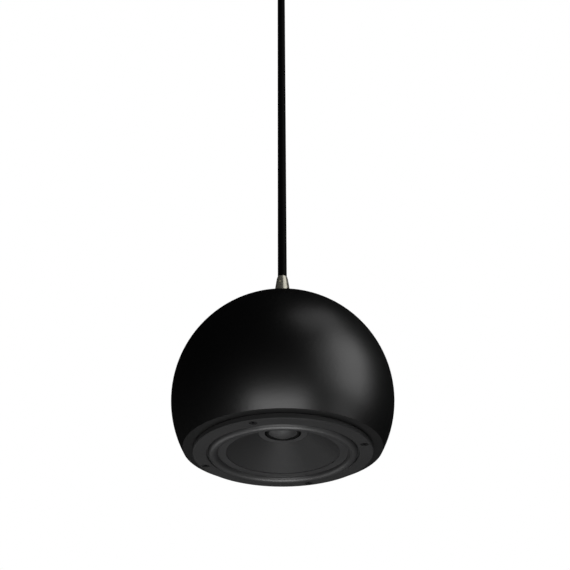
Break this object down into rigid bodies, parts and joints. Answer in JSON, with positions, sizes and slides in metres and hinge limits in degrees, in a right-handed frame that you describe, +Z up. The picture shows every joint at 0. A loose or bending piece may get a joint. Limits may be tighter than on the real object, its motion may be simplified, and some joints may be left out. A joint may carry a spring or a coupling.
{
  "type": "pendant speaker",
  "caption": "Black ball-shaped pendant loudspeaker with a coaxial driver facing down, hung on a round cord from a ceiling cup.",
  "frame": {"origin": "in the ceiling plane, midway between the two ceiling screw holes, on the cord's axis", "axes": "+Z points up into the ceiling along the cord, and the driver faces -Z; +X runs through the two ceiling screw holes"},
  "size_m": [0.21, 0.21, 0.7288],
  "materials": {
    "ball_paint": "satin black",
    "fibre_board": "sawn and turned",
    "brass_turned": "turned",
    "foam": "closed-cell foam",
    "frame_cast": "black powder coat",
    "trim_moulded": "fine matt texture",
    "screw_black": "black zinc",
    "surround_rubber": "smooth moulded",
    "cone_pressed": "pressed, satin",
    "collar_moulded": "satin",
    "former_foil": "rolled foil",
    "copper_wire": "enamelled winding",
    "spider_cloth": "resin-dipped cotton",
    "steel_plated": "zinc plated",
    "ferrite": "sintered, ground",
    "tweeter_moulded": "satin",
    "dome_film": "coated, soft sheen",
    "insulator": "phenolic board",
    "board_laminate": "solder mask",
    "component_sleeve": "shrink sleeve",
    "component_ceramic": "ceramic",
    "block_moulded": "moulded",
    "felt": "needled felt",
    "grip_metal": "satin nickel-brass",
    "steel_zinc": "zinc plated",
    "cord_sheath": "smooth matt sheath",
    "lead_sheath": "insulated core",
    "tinsel_braid": "braided",
    "canopy_paint": "satin black"
  },
  "bodies": {
    "speaker": {"enclosure_shell": "ball_paint", "baffle_ring": "fibre_board", "threaded_inserts": "brass_turned", "frame_gasket": "foam", "driver_frame": "frame_cast", "trim_ring": "trim_moulded", "frame_screws": "screw_black", "woofer_surround": "surround_rubber", "spider": "spider_cloth", "top_plate": "steel_plated", "ring_magnet": "ferrite", "back_plate": "steel_plated", "tweeter_post": "tweeter_moulded", "tweeter_housing": "tweeter_moulded", "tweeter_dome": "dome_film", "tweeter_magnet": "steel_plated", "tweeter_plate": "steel_plated", "terminal_strip": "insulator", "terminal_tabs": "brass_turned", "board_standoffs": "block_moulded", "crossover_board": "board_laminate", "board_screws": "steel_zinc", "crossover_inductor": "block_moulded", "inductor_winding": "copper_wire", "crossover_capacitor": "component_sleeve", "crossover_resistor": "component_ceramic", "board_terminal_block": "block_moulded", "damping_lining": "felt", "cord_grip": "grip_metal", "cord_grip_screw": "screw_black", "hanger_washer": "steel_zinc", "hanger_locknut": "steel_zinc", "cord_stop": "steel_zinc", "cord_stop_screw": "steel_zinc", "ceiling_canopy": "canopy_paint", "ceiling_bracket": "steel_zinc", "canopy_screws": "screw_black", "rose_terminal_block": "block_moulded", "rose_cord_grip": "grip_metal", "rose_grip_screw": "screw_black", "rose_washer": "steel_zinc", "rose_locknut": "steel_zinc", "rose_cord_stop": "steel_zinc", "rose_stop_screw": "steel_zinc", "cord_lower_end": "cord_sheath", "cord": "cord_sheath", "cord_upper_end": "cord_sheath", "input_leads": "lead_sheath", "woofer_leads": "lead_sheath", "tweeter_leads": "lead_sheath", "rose_leads": "lead_sheath", "tinsel_leads": "tinsel_braid"},
    "cone_assembly": {"woofer_cone": "cone_pressed", "cone_collar": "collar_moulded", "voice_coil_former": "former_foil", "voice_coil": "copper_wire"}
  },
  "joints": [
    {"name": "cone_travel", "type": "slide", "parent": "speaker", "child": "cone_assembly", "axis": [0, 0, 1], "range_m": [-0.004, 0.004], "stiffness_N_per_m": 1200, "deforming": ["woofer_surround", "spider", "tinsel_leads"]}
  ]
}
